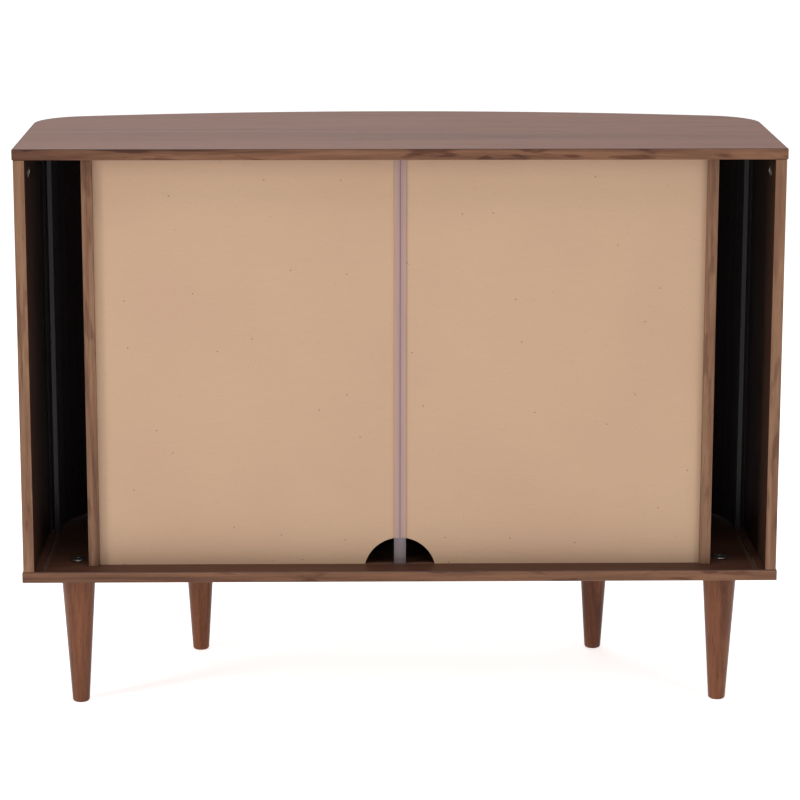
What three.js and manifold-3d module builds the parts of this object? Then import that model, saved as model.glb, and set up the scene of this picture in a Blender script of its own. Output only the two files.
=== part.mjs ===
// A walnut media cabinet with a bowed front, round front corners and two sliding tambour doors.
//
// Frame: millimetres, +Z up, the floor at Z = 0, the doors towards -Y, the back edge towards +Y.
// Left is -X and right is +X, as seen by someone who faces the doors.
// The doors are closed. Each door is a row of slats on a canvas: the slats turn the round corner and
// run back into a pocket between the outer side panel and the partition.

import * as THREE from "three";
import { mergeVertices } from "three/addons/utils/BufferGeometryUtils.js";
import Module from "manifold-3d";

const wasm = await Module();
wasm.setup();

// Overall size and boards
const WIDTH = 1042;
const DEPTH = 400;
const HEIGHT = 795;
const LEG_HEIGHT = 192;
const BOARD = 15;
const CORNER_RADIUS = 80;
const FRONT_RADIUS = 2000;
const JOINT_GAP = 0.3; // between two pieces that lie against each other

// Carcass: distances from the centre plane, and depths from the back edge
const SIDE_OUTER_X = 519.5;
const SIDE_DEPTH = 225;
const PARTITION_OUTER_X = 432;
const PARTITION_BACK = 30;
const PARTITION_FRONT = 300;
const SHELF_BACK = 46;
const SHELF_FRONT = 300;

// Back boards and the profile that joins them
const BACK_RECESS = 38;
const BACK_THICKNESS = 3;
const GROOVE_DEPTH = 5;
const CABLE_HOLE_RADIUS = 50;
const CABLE_HOLE_DROP = 12.6; // how far the hole's centre lies under the cabinet floor
const PROFILE_WIDTH = 16.6;
const PROFILE_WALL = 1.2;

// Legs and fittings
const LEG_TOP_RADIUS = 24;
const LEG_FOOT_RADIUS = 12;
const LEG_FOOT_ROUND = 2;
const REAR_LEG = { x: 450, depth: 65 };
const FRONT_LEG = { x: 293, depth: 297 };
const BOLT_RADIUS = 4;
const BOLT_HEAD_RADIUS = 11;
const BOLT_HEAD_HEIGHT = 2;
const BOLT_IN_LEG = 25;
const CAM_RADIUS = 7.5;
const CAM_DEPTH = 11;
const CAM_PROUD = 1;
const CAM_FROM_BACK = 48;
const CAM_UNDER_TOP = 23;
const PIN_RADIUS = 2.5;
const PIN_IN_BOARD = 8;
const PIN_OUT = 9;
const PIN_DEPTHS = [85, 260];
const PIN_HOLE_PITCH = 32;

// Tambour doors: the canvas runs along a front arc, a round corner and a straight line
const TRACK_FRONT_INSET = 28;
const TRACK_SIDE_X = 488;
const TRACK_CORNER_RADIUS = 105;
const TRACK_END_DEPTH = 6;
const SLAT_PITCH = 24;
const SLAT_GAP = 1.2;
const SLAT_THICKNESS = 8;
const SLAT_BEVEL = 1.5;
const SLAT_SHOULDER = 2;
const CANVAS_THICKNESS = 1;
const STILE_WIDTH = 28;
const LEAD_SLATS = 8; // slats that stay on the front arc, in one panel with the stile
const LOOSE_SLATS = 14; // slats that turn the corner one by one
const TAIL_STRIP = 8;
const SLAT_END_GAP = 1;
const TRACK_DEPTH = 5;
const TRACK_INNER = 1; // the track groove's inner and outer walls, measured outwards from the canvas
const TRACK_OUTER = 7;
const TENON_HEIGHT = 4.5;
const TENON_PLAY = 0.5;
const PULL = { width: 10, height: 160, depth: 12, along: 16 };

const ARC_STEPS = 16;
const LEG_SIDES = 24;
const FITTING_SIDES = 16;

// Worked out from the sizes above
const BACK_Y = DEPTH / 2;
const FLOOR_Z = LEG_HEIGHT + BOARD;
const CEILING_Z = HEIGHT - BOARD;
const SIDE_INNER_X = SIDE_OUTER_X - BOARD;
const PARTITION_INNER_X = PARTITION_OUTER_X - BOARD;
const FRONT_CENTRE_Y = FRONT_RADIUS - DEPTH / 2;
const SHELF_Z = (FLOOR_Z + CEILING_Z - BOARD) / 2;
const SLAT_BOTTOM = FLOOR_Z + SLAT_END_GAP;
const SLAT_HEIGHT = CEILING_Z - FLOOR_Z - 2 * SLAT_END_GAP;
const LEAD_LENGTH = STILE_WIDTH + LEAD_SLATS * SLAT_PITCH;

const walnut = new THREE.MeshStandardMaterial({ color: 0x8a6a5c, roughness: 0.5, metalness: 0 });
const walnutEdge = new THREE.MeshStandardMaterial({ color: 0x7c5c48, roughness: 0.55, metalness: 0 });
const legWood = new THREE.MeshStandardMaterial({ color: 0x704a37, roughness: 0.45, metalness: 0 });
const hardboard = new THREE.MeshStandardMaterial({ color: 0xc4a484, roughness: 0.8, metalness: 0 });
const plastic = new THREE.MeshStandardMaterial({ color: 0xb49486, roughness: 0.35, metalness: 0 });
const steel = new THREE.MeshStandardMaterial({ color: 0xb8b8b4, roughness: 0.35, metalness: 0.9 });

const cabinet = new THREE.Group();

function addPart(name, geometry, material, parent = cabinet) {
  const mesh = new THREE.Mesh(geometry, material);
  mesh.name = name;
  parent.add(mesh);
  return mesh;
}

// Depth is measured from the back edge towards the doors, so it runs against Y.
function yAt(depth) {
  return BACK_Y - depth;
}

// --- joining and cutting -------------------------------------------------------------------

function toSolid(geometry) {
  const bare = geometry.clone();
  bare.deleteAttribute("normal");
  bare.deleteAttribute("uv");
  const merged = mergeVertices(bare, 1e-4);
  const vertProperties = new Float32Array(merged.attributes.position.array);
  const triVerts = new Uint32Array(merged.index.array);
  return new wasm.Manifold(new wasm.Mesh({ numProp: 3, vertProperties, triVerts }));
}

function toGeometry(solid) {
  const mesh = solid.getMesh();
  const geometry = new THREE.BufferGeometry();
  geometry.setAttribute("position", new THREE.BufferAttribute(mesh.vertProperties, 3));
  geometry.setIndex(new THREE.BufferAttribute(mesh.triVerts, 1));
  geometry.computeVertexNormals();
  return geometry;
}

function cut(geometry, tools) {
  const solid = tools.reduce((rest, tool) => rest.subtract(toSolid(tool)), toSolid(geometry));
  return toGeometry(solid);
}

function join(geometries) {
  const [first, ...others] = geometries.map(toSolid);
  return toGeometry(others.reduce((whole, solid) => whole.add(solid), first));
}

// --- plain shapes --------------------------------------------------------------------------

function block(x0, x1, y0, y1, z0, z1) {
  const geometry = new THREE.BoxGeometry(x1 - x0, y1 - y0, z1 - z0);
  return geometry.translate((x0 + x1) / 2, (y0 + y1) / 2, (z0 + z1) / 2);
}

// A board that stands on edge at |X| from inner to outer, on the side given by the sign.
function sideBlock(sign, inner, outer, y0, y1, z0, z1) {
  const x = [sign * inner, sign * outer].sort((a, b) => a - b);
  return block(x[0], x[1], y0, y1, z0, z1);
}

function prism(shape, z0, z1) {
  const settings = { depth: z1 - z0, bevelEnabled: false, curveSegments: ARC_STEPS };
  return new THREE.ExtrudeGeometry(shape, settings).translate(0, 0, z0);
}

function uprightRod(radius, x, y, z0, z1, sides = FITTING_SIDES) {
  const rod = new THREE.CylinderGeometry(radius, radius, z1 - z0, sides);
  return rod.rotateX(Math.PI / 2).translate(x, y, (z0 + z1) / 2);
}

function crossRod(radius, x0, x1, y, z, sides = FITTING_SIDES) {
  const rod = new THREE.CylinderGeometry(radius, radius, Math.abs(x1 - x0), sides);
  return rod.rotateZ(Math.PI / 2).translate((x0 + x1) / 2, y, z);
}

// --- plan outlines -------------------------------------------------------------------------

// Straight sides, two round corners and one long front arc, all tangent to each other.
function bowFront(shape, { sideX, cornerRadius, frontRadius, backY }, reverse = false) {
  const cornerX = sideX - cornerRadius;
  const turn = Math.asin(cornerX / (frontRadius - cornerRadius));
  const cornerY = FRONT_CENTRE_Y - (frontRadius - cornerRadius) * Math.cos(turn);
  const down = -Math.PI / 2;
  if (reverse) {
    shape.lineTo(-sideX, backY);
    shape.lineTo(-sideX, cornerY);
    shape.absarc(-cornerX, cornerY, cornerRadius, -Math.PI, down - turn, false);
    shape.absarc(0, FRONT_CENTRE_Y, frontRadius, down - turn, down + turn, false);
    shape.absarc(cornerX, cornerY, cornerRadius, down + turn, 0, false);
    shape.lineTo(sideX, backY);
    return;
  }
  shape.moveTo(sideX, backY);
  shape.lineTo(sideX, cornerY);
  shape.absarc(cornerX, cornerY, cornerRadius, 0, down + turn, true);
  shape.absarc(0, FRONT_CENTRE_Y, frontRadius, down + turn, down - turn, true);
  shape.absarc(-cornerX, cornerY, cornerRadius, down - turn, -Math.PI, true);
  shape.lineTo(-sideX, backY);
}

function cabinetOutline() {
  const shape = new THREE.Shape();
  const sizes = { sideX: WIDTH / 2, cornerRadius: CORNER_RADIUS, frontRadius: FRONT_RADIUS, backY: BACK_Y };
  bowFront(shape, sizes);
  shape.closePath();
  return shape;
}

function trackSizes(offset) {
  return {
    sideX: TRACK_SIDE_X + offset,
    cornerRadius: TRACK_CORNER_RADIUS + offset,
    frontRadius: FRONT_RADIUS - TRACK_FRONT_INSET + offset,
    backY: yAt(TRACK_END_DEPTH),
  };
}

// The groove that guides both doors, one long ribbon in plan.
function trackOutline() {
  const shape = new THREE.Shape();
  bowFront(shape, trackSizes(TRACK_OUTER));
  bowFront(shape, trackSizes(TRACK_INNER), true);
  shape.closePath();
  return shape;
}

// --- the canvas line, followed from the middle of the front --------------------------------

const track = (() => {
  const { sideX, cornerRadius, frontRadius } = trackSizes(0);
  const cornerX = sideX - cornerRadius;
  const turn = Math.asin(cornerX / (frontRadius - cornerRadius));
  const cornerY = FRONT_CENTRE_Y - (frontRadius - cornerRadius) * Math.cos(turn);
  const frontLength = frontRadius * turn;
  const cornerLength = cornerRadius * (Math.PI / 2 - turn);
  return { sideX, cornerRadius, frontRadius, cornerX, cornerY, turn, frontLength, cornerLength };
})();

// The point at a length along the canvas line of the right door, moved outwards by offset.
function trackPoint(length, offset = 0) {
  const past = length - track.frontLength;
  if (past <= 0) {
    const angle = length / track.frontRadius;
    const reach = track.frontRadius + offset;
    return new THREE.Vector2(reach * Math.sin(angle), FRONT_CENTRE_Y - reach * Math.cos(angle));
  }
  if (past <= track.cornerLength) {
    const angle = track.turn + past / track.cornerRadius;
    const reach = track.cornerRadius + offset;
    return new THREE.Vector2(track.cornerX + reach * Math.sin(angle), track.cornerY - reach * Math.cos(angle));
  }
  return new THREE.Vector2(track.sideX + offset, track.cornerY + past - track.cornerLength);
}

// The length at which the straight distance from the start reaches one slat pitch.
function nextHinge(start) {
  const from = trackPoint(start);
  let low = start;
  let high = start + 1.5 * SLAT_PITCH;
  while (high - low > 1e-9) {
    const middle = (low + high) / 2;
    if (trackPoint(middle).distanceTo(from) < SLAT_PITCH) {
      low = middle;
    } else {
      high = middle;
    }
  }
  return low;
}

// --- carcass -------------------------------------------------------------------------------

const boardSlotY0 = yAt(BACK_RECESS + BACK_THICKNESS + JOINT_GAP);
const boardSlotY1 = yAt(BACK_RECESS - JOINT_GAP);

function backBoardSlot(z0, z1) {
  const x = PARTITION_INNER_X + GROOVE_DEPTH;
  return block(-x, x, boardSlotY0, boardSlotY1, z0, z1);
}

function addTopPanel() {
  const track0 = prism(trackOutline(), CEILING_Z - 1, CEILING_Z + TRACK_DEPTH);
  const tools = [track0, backBoardSlot(CEILING_Z - 1, CEILING_Z + GROOVE_DEPTH)];
  addPart("top_panel", cut(prism(cabinetOutline(), CEILING_Z, HEIGHT), tools), walnut);
}

function legPlaces() {
  const rows = { rear: REAR_LEG, front: FRONT_LEG };
  return Object.entries(rows).flatMap(([row, { x, depth }]) => [
    { name: `${row}_left`, x: -x, y: yAt(depth) },
    { name: `${row}_right`, x, y: yAt(depth) },
  ]);
}

function addBottomPanel() {
  const tools = [
    prism(trackOutline(), FLOOR_Z - TRACK_DEPTH, FLOOR_Z + 1),
    backBoardSlot(FLOOR_Z - GROOVE_DEPTH, FLOOR_Z + 1),
  ];
  for (const { x, y } of legPlaces()) {
    tools.push(uprightRod(BOLT_RADIUS + JOINT_GAP, x, y, LEG_HEIGHT - 1, FLOOR_Z + 1));
  }
  addPart("bottom_panel", cut(prism(cabinetOutline(), LEG_HEIGHT, FLOOR_Z), tools), walnut);
}

function addSidePanel(side, sign) {
  const z = [FLOOR_Z + JOINT_GAP, CEILING_Z - JOINT_GAP];
  const panel = sideBlock(sign, SIDE_INNER_X, SIDE_OUTER_X, yAt(SIDE_DEPTH), BACK_Y, ...z);
  const camY = yAt(CAM_FROM_BACK);
  const camZ = CEILING_Z - CAM_UNDER_TOP;
  const holeEnd = SIDE_INNER_X + CAM_DEPTH + JOINT_GAP;
  const hole = crossRod(CAM_RADIUS + JOINT_GAP, sign * (SIDE_INNER_X - 1), sign * holeEnd, camY, camZ);
  addPart(`side_panel_${side}`, cut(panel, [hole]), walnutEdge);
  const x = [sign * (SIDE_INNER_X - CAM_PROUD), sign * (SIDE_INNER_X + CAM_DEPTH)];
  addPart(`cam_lock_${side}`, crossRod(CAM_RADIUS, x[0], x[1], camY, camZ), steel);
}

function addPartition(side, sign) {
  const z = [FLOOR_Z + JOINT_GAP, CEILING_Z - JOINT_GAP];
  const y = [yAt(PARTITION_FRONT), yAt(PARTITION_BACK)];
  const panel = sideBlock(sign, PARTITION_INNER_X, PARTITION_OUTER_X, ...y, ...z);
  const slotEnd = PARTITION_INNER_X + GROOVE_DEPTH;
  const slot = sideBlock(sign, PARTITION_INNER_X - 1, slotEnd, boardSlotY0, boardSlotY1, z[0] - 1, z[1] + 1);
  const tools = [slot];
  for (const depth of PIN_DEPTHS) {
    for (const step of [-1, 0, 1]) {
      const x = [sign * (PARTITION_INNER_X - 1), sign * (PARTITION_INNER_X + PIN_IN_BOARD + JOINT_GAP)];
      const pinZ = SHELF_Z - PIN_RADIUS - JOINT_GAP + step * PIN_HOLE_PITCH;
      tools.push(crossRod(PIN_RADIUS + JOINT_GAP, x[0], x[1], yAt(depth), pinZ));
    }
  }
  addPart(`partition_${side}`, cut(panel, tools), walnutEdge);
}

function addShelf() {
  const x = PARTITION_INNER_X - JOINT_GAP;
  const shelf = block(-x, x, yAt(SHELF_FRONT), yAt(SHELF_BACK), SHELF_Z, SHELF_Z + BOARD);
  addPart("shelf", shelf, walnut);
}

function addShelfPins(side, sign) {
  const names = ["rear", "front"];
  PIN_DEPTHS.forEach((depth, i) => {
    const x = [sign * (PARTITION_INNER_X - PIN_OUT), sign * (PARTITION_INNER_X + PIN_IN_BOARD)];
    const pin = crossRod(PIN_RADIUS, x[0], x[1], yAt(depth), SHELF_Z - PIN_RADIUS - JOINT_GAP);
    addPart(`shelf_pin_${names[i]}_${side}`, pin, steel);
  });
}

// --- back ----------------------------------------------------------------------------------

const boardInnerX = PROFILE_WALL / 2 + JOINT_GAP;

// A board in front view: a rectangle less a quarter of the cable hole at its lower inner corner.
function addBackBoard(side, sign) {
  const centreZ = FLOOR_Z - CABLE_HOLE_DROP;
  const bottom = FLOOR_Z - GROOVE_DEPTH + JOINT_GAP;
  const top = CEILING_Z + GROOVE_DEPTH - JOINT_GAP;
  const outerX = PARTITION_INNER_X + GROOVE_DEPTH - JOINT_GAP;
  const startAngle = Math.asin((bottom - centreZ) / CABLE_HOLE_RADIUS);
  const endAngle = Math.acos(boardInnerX / CABLE_HOLE_RADIUS);
  const shape = new THREE.Shape();
  shape.moveTo(outerX, bottom);
  shape.lineTo(outerX, top);
  shape.lineTo(boardInnerX, top);
  shape.absarc(0, centreZ, CABLE_HOLE_RADIUS, endAngle, startAngle, true);
  shape.closePath();
  const board = prism(shape, 0, BACK_THICKNESS).rotateX(Math.PI / 2).translate(0, yAt(BACK_RECESS), 0);
  if (sign < 0) {
    board.rotateZ(Math.PI).translate(0, 2 * yAt(BACK_RECESS) - BACK_THICKNESS, 0);
  }
  addPart(`back_board_${side}`, board, hardboard);
}

// An H in plan: two flanges that hold the boards between them, and a web between the boards.
function addJoiningStrip() {
  const slot = BACK_THICKNESS / 2 + JOINT_GAP;
  const outer = slot + PROFILE_WALL;
  const half = PROFILE_WIDTH / 2;
  const web = PROFILE_WALL / 2;
  const quarter = [[half, outer], [half, slot], [web, slot]];
  const corners = [
    ...quarter,
    ...quarter.toReversed().map(([x, y]) => [x, -y]),
    ...quarter.map(([x, y]) => [-x, -y]),
    ...quarter.toReversed().map(([x, y]) => [-x, y]),
  ];
  const shape = new THREE.Shape(corners.map(([x, y]) => new THREE.Vector2(x, y)));
  const strip = prism(shape, FLOOR_Z + JOINT_GAP, CEILING_Z - JOINT_GAP);
  strip.translate(0, yAt(BACK_RECESS + BACK_THICKNESS / 2), 0);
  addPart("back_joining_strip", strip, plastic);
}

// --- legs ----------------------------------------------------------------------------------

function legGeometry() {
  const holeRadius = BOLT_RADIUS + JOINT_GAP;
  const top = LEG_HEIGHT - JOINT_GAP;
  const holeBottom = LEG_HEIGHT - BOLT_IN_LEG - 2;
  const profile = [[0, 0], [LEG_FOOT_RADIUS - LEG_FOOT_ROUND, 0]];
  for (const angle of [30, 60, 90]) {
    const turned = THREE.MathUtils.degToRad(angle);
    const radius = LEG_FOOT_RADIUS - LEG_FOOT_ROUND * (1 - Math.sin(turned));
    profile.push([radius, LEG_FOOT_ROUND * (1 - Math.cos(turned))]);
  }
  profile.push([LEG_TOP_RADIUS, top], [holeRadius, top], [holeRadius, holeBottom], [0, holeBottom]);
  const points = profile.map(([radius, z]) => new THREE.Vector2(radius, z));
  return new THREE.LatheGeometry(points, LEG_SIDES).rotateX(Math.PI / 2);
}

// A flat-headed bolt that goes down through the cabinet floor into the leg.
function legBoltGeometry() {
  const headTop = FLOOR_Z + JOINT_GAP + BOLT_HEAD_HEIGHT;
  const headBottom = FLOOR_Z + JOINT_GAP;
  const profile = [
    [0, LEG_HEIGHT - BOLT_IN_LEG],
    [BOLT_RADIUS, LEG_HEIGHT - BOLT_IN_LEG],
    [BOLT_RADIUS, headBottom],
    [BOLT_HEAD_RADIUS, headBottom],
    [BOLT_HEAD_RADIUS - 1, headTop],
    [0, headTop],
  ];
  const points = profile.map(([radius, z]) => new THREE.Vector2(radius, z));
  return new THREE.LatheGeometry(points, FITTING_SIDES).rotateX(Math.PI / 2);
}

function addLegs() {
  for (const { name, x, y } of legPlaces()) {
    addPart(`leg_${name}`, legGeometry(), legWood).position.set(x, y, 0);
    addPart(`leg_bolt_${name}`, legBoltGeometry(), steel).position.set(x, y, 0);
  }
}

// --- tambour doors -------------------------------------------------------------------------

// One slat with its strip of canvas in plan, canvas at y = 0 and the face at y = -thickness.
function slatShape() {
  const half = (SLAT_PITCH - SLAT_GAP) / 2;
  const shoulder = SLAT_SHOULDER - SLAT_THICKNESS;
  const corners = [
    [-half, 0],
    [-half, shoulder],
    [SLAT_BEVEL - half, -SLAT_THICKNESS],
    [half - SLAT_BEVEL, -SLAT_THICKNESS],
    [half, shoulder],
    [half, 0],
  ];
  return new THREE.Shape(corners.map(([x, y]) => new THREE.Vector2(x, y)));
}

// The face of one slat between two lengths along the track, as length and offset pairs.
function slatFace(start, end) {
  const shoulder = SLAT_THICKNESS - SLAT_SHOULDER;
  return [
    [start, shoulder],
    [start + SLAT_BEVEL, SLAT_THICKNESS],
    [end - SLAT_BEVEL, SLAT_THICKNESS],
    [end, shoulder],
  ];
}

function trackShape(sign, stations) {
  return new THREE.Shape(
    stations.map(([length, offset]) => {
      const point = trackPoint(length, offset);
      return new THREE.Vector2(sign * point.x, point.y);
    }),
  );
}

function ribbonShape(sign, start, end, inner, outer, steps) {
  const lengths = Array.from({ length: steps + 1 }, (_, i) => start + ((end - start) * i) / steps);
  const out = lengths.map((length) => [length, outer]);
  const back = lengths.toReversed().map((length) => [length, inner]);
  return trackShape(sign, [...out, ...back]);
}

// Slats on one piece of canvas that moves as one, with a tenon that runs in the grooves.
function guidedPanel(sign, faces, start, end) {
  const front = faces.flatMap(([from, to], i) => {
    const face = slatFace(from, to);
    const before = i > 0 ? [[from, CANVAS_THICKNESS]] : [];
    const after = i < faces.length - 1 ? [[to, CANVAS_THICKNESS]] : [];
    return [...before, ...face, ...after];
  });
  const back = faces.toReversed().map(([from]) => [from, 0]);
  const outline = trackShape(sign, [...front, [end, 0], ...back]);
  const panel = prism(outline, SLAT_BOTTOM, SLAT_BOTTOM + SLAT_HEIGHT);
  const walls = [TRACK_INNER + TENON_PLAY, TRACK_OUTER - TENON_PLAY];
  const inset = SLAT_BEVEL + SLAT_GAP;
  const tenon = ribbonShape(sign, start + inset, end - inset, ...walls, faces.length);
  return join([panel, prism(tenon, FLOOR_Z - TENON_HEIGHT, CEILING_Z + TENON_HEIGHT)]);
}

function addLead(side, sign, group) {
  const faces = [[SLAT_GAP / 2, STILE_WIDTH - SLAT_GAP / 2]];
  for (let i = 0; i < LEAD_SLATS; i += 1) {
    const start = STILE_WIDTH + i * SLAT_PITCH;
    faces.push([start + SLAT_GAP / 2, start + SLAT_PITCH - SLAT_GAP / 2]);
  }
  const lead = guidedPanel(sign, faces, SLAT_GAP / 2, LEAD_LENGTH - SLAT_GAP / 2);
  addPart(`door_${side}_lead`, lead, walnut, group);
}

// A bar with round ends, upright on the face of the lead stile.
function addPull(side, sign, group) {
  const radius = PULL.width / 2;
  const straight = PULL.height / 2 - radius;
  const shape = new THREE.Shape();
  shape.absarc(0, straight, radius, 0, Math.PI, false);
  shape.absarc(0, -straight, radius, Math.PI, 2 * Math.PI, false);
  shape.closePath();
  const settings = { depth: PULL.depth, bevelEnabled: false, curveSegments: 8 };
  const bar = new THREE.ExtrudeGeometry(shape, settings).rotateX(Math.PI / 2);
  const foot = trackPoint(PULL.along, SLAT_THICKNESS + JOINT_GAP);
  const pull = addPart(`door_${side}_pull`, bar, walnutEdge, group);
  pull.position.set(sign * foot.x, foot.y, (FLOOR_Z + CEILING_Z) / 2);
  pull.rotation.z = (sign * PULL.along) / track.frontRadius;
}

// The slats between the lead and the tail. Returns the length where the tail starts.
function addLooseSlats(side, sign, group) {
  let start = LEAD_LENGTH;
  for (let i = 1; i <= LOOSE_SLATS; i += 1) {
    const end = nextHinge(start);
    const from = trackPoint(start);
    const to = trackPoint(end);
    const name = `door_${side}_slat_${String(i).padStart(2, "0")}`;
    const slat = addPart(name, prism(slatShape(), 0, SLAT_HEIGHT), walnut, group);
    slat.position.set((sign * (from.x + to.x)) / 2, (from.y + to.y) / 2, SLAT_BOTTOM);
    slat.rotation.z = sign * Math.atan2(to.y - from.y, to.x - from.x);
    start = end;
  }
  return start;
}

function addTail(side, sign, group, start) {
  const slatEnd = start + SLAT_PITCH - SLAT_GAP / 2;
  const end = slatEnd + SLAT_GAP + TAIL_STRIP;
  const faces = [[start + SLAT_GAP / 2, slatEnd], [slatEnd + SLAT_GAP, end]];
  addPart(`door_${side}_tail`, guidedPanel(sign, faces, start + SLAT_GAP / 2, end), walnutEdge, group);
}

function addDoor(side, sign) {
  const door = new THREE.Group();
  cabinet.add(door);
  addLead(side, sign, door);
  addPull(side, sign, door);
  const tailStart = addLooseSlats(side, sign, door);
  addTail(side, sign, door, tailStart);
}

// --- the whole cabinet ---------------------------------------------------------------------

addTopPanel();
addBottomPanel();
addShelf();
addJoiningStrip();
addLegs();
for (const [side, sign] of [["left", -1], ["right", 1]]) {
  addSidePanel(side, sign);
  addPartition(side, sign);
  addShelfPins(side, sign);
  addBackBoard(side, sign);
  addDoor(side, sign);
}

export default cabinet;
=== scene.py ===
"""The looks of the walnut media cabinet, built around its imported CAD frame.

Metres, +Z up. The open back faces +Y, towards the camera, and the tambour doors face -Y.
Every board, slat and fitting is a mesh of its own that rides on the CAD body it belongs to.
In functions, sign is -1 for the left side and 1 for the right one.
"""

import math

import bmesh
import bpy
from mathutils import Matrix, Vector


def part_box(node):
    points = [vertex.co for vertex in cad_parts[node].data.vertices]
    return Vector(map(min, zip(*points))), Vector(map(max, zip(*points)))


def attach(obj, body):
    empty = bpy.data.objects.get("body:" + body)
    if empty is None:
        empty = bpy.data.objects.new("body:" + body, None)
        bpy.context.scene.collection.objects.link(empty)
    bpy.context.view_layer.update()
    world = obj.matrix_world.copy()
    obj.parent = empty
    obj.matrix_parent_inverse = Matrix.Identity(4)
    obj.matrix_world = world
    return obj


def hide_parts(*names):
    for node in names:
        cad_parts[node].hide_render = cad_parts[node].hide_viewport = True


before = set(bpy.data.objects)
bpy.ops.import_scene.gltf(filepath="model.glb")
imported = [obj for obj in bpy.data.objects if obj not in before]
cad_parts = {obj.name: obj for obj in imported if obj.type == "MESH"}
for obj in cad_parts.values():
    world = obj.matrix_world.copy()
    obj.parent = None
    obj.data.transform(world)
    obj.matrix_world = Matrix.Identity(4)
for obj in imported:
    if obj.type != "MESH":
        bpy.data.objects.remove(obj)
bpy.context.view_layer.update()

MM = 0.001
SIDES = {"left": -1, "right": 1}

# Plan of the top and bottom panels
CORNER_RADIUS = 80 * MM
FRONT_RADIUS = 2000 * MM
BAND = 1.2 * MM  # thickness of the band on a board's edge
ARRIS = 0.8 * MM  # eased edge of the bands and the leg tops

# The line that the canvas of the doors follows
TRACK_FRONT_INSET = 28 * MM
TRACK_SIDE_X = 488 * MM
TRACK_CORNER_RADIUS = 105 * MM
SLAT_PITCH = 24 * MM
SLAT_GAP = 1.2 * MM
SLAT_THICKNESS = 8 * MM
SLAT_FILLET = 2 * MM
SLAT_CHAMFER = 0.5 * MM  # at its upper and lower end
CANVAS = 0.9 * MM  # thickness of the cloth that the slats are glued to
CANVAS_PLAY = 0.02 * MM  # keeps the cloth's faces off the wood's
PANEL_PLAY = 0.05 * MM  # between pieces of one door that would share a face
STILE_WIDTH = 28 * MM
LEAD_SLATS = 8
LOOSE_SLATS = 14
TAIL_STRIP = 8 * MM
TONGUE = (1.5 * MM, 6.5 * MM)  # walls of the guide tongue, outwards from the canvas
TONGUE_REACH = 4.4 * MM  # into the floor and the ceiling
PULL_ALONG = 16 * MM  # from the meeting line to the middle of the pull

CABLE_HOLE_RADIUS = 50 * MM
CABLE_HOLE_DROP = 12.6 * MM  # its centre, below the cabinet's floor

TRACK_GROOVE = (1 * MM, 7 * MM)  # its walls, outwards from the canvas
TRACK_GROOVE_DEPTH = 5 * MM
TRACK_END = 6 * MM  # from the back edge
BOARD_GROOVE_PLAY = 0.3 * MM
BOARD_GROOVE_DEPTH = 5 * MM

CORE_EASING = 0.25 * MM  # eased edge of a board under its bands
DRILL_PLAY = 0.3 * MM  # between a fitting and the hole round it
BOLT_SHANK = 4 * MM  # its radius
PIN_HOLE_PITCH = 32 * MM
PIN_HOLE_STEPS = (-1, 0, 1)
SHEET_EASING = 0.3 * MM  # eased edge of the thin pieces
DUST_STRIP_WIDTH = 7 * MM
DUST_STRIP_PLAY = 0.9 * MM


# --- meshes ---


SAME_POINT = 1e-7
SHARP_ANGLE = math.radians(40)


def new_object(name, data):
    piece = bpy.data.objects.new(name, data)
    bpy.context.scene.collection.objects.link(piece)
    return piece


def mesh_from(name, verts, faces):
    """An object of these faces, with doubled points joined and all normals outwards."""
    mesh = bpy.data.meshes.new(name)
    mesh.from_pydata([tuple(v) for v in verts], [], faces)
    made = bmesh.new()
    made.from_mesh(mesh)
    bmesh.ops.remove_doubles(made, verts=made.verts, dist=SAME_POINT)
    bmesh.ops.recalc_face_normals(made, faces=made.faces)
    made.to_mesh(mesh)
    made.free()
    return new_object(name, mesh)


def apply_modifiers(piece):
    """Replaces the piece's mesh with the one its modifiers make."""
    bpy.context.view_layer.update()
    graph = bpy.context.evaluated_depsgraph_get()
    mesh = bpy.data.meshes.new_from_object(piece.evaluated_get(graph))
    piece.modifiers.clear()
    old = piece.data
    piece.data = mesh
    mesh.name = piece.name
    bpy.data.meshes.remove(old)
    return piece


def soften(piece, width, segments):
    """Rounds every edge that turns by more than SHARP_ANGLE."""
    bevel = piece.modifiers.new("soften", "BEVEL")
    bevel.width = width
    bevel.segments = segments
    bevel.limit_method = "ANGLE"
    bevel.angle_limit = SHARP_ANGLE
    bevel.use_clamp_overlap = True
    return apply_modifiers(piece)


def carve(piece, cutters):
    """Cuts the cutters out of the piece, and removes them."""
    for cutter in cutters:
        cut = piece.modifiers.new("carve", "BOOLEAN")
        cut.operation = "DIFFERENCE"
        cut.solver = "EXACT"
        cut.object = cutter
    apply_modifiers(piece)
    for cutter in cutters:
        bpy.data.objects.remove(cutter)


def shade(piece, angle):
    """Smooth shading in which the large faces stay flat and only the eased edges turn."""
    for polygon in piece.data.polygons:
        polygon.use_smooth = True
    piece.data.set_sharp_from_angle(angle=math.radians(angle))
    weights = piece.modifiers.new("weights", "WEIGHTED_NORMAL")
    weights.keep_sharp = True
    apply_modifiers(piece)


def loft(name, rings, closed_path=False):
    """Skins rings of equal length. The two ends are capped unless the path closes on itself."""
    count = len(rings[0])
    verts = [point for ring in rings for point in ring]
    faces = []
    spans = len(rings) if closed_path else len(rings) - 1
    for i in range(spans):
        here = i * count
        there = (i + 1) % len(rings) * count
        for j in range(count):
            k = (j + 1) % count
            faces.append((here + j, here + k, there + k, there + j))
    if not closed_path:
        faces.append(tuple(range(count)))
        faces.append(tuple(range(len(verts) - count, len(verts))))
    return mesh_from(name, verts, faces)


def prism(name, outline, low, high):
    """An upright prism on a plan outline."""
    return loft(name, [[Vector((x, y, z)) for x, y in outline] for z in (low, high)])


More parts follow.
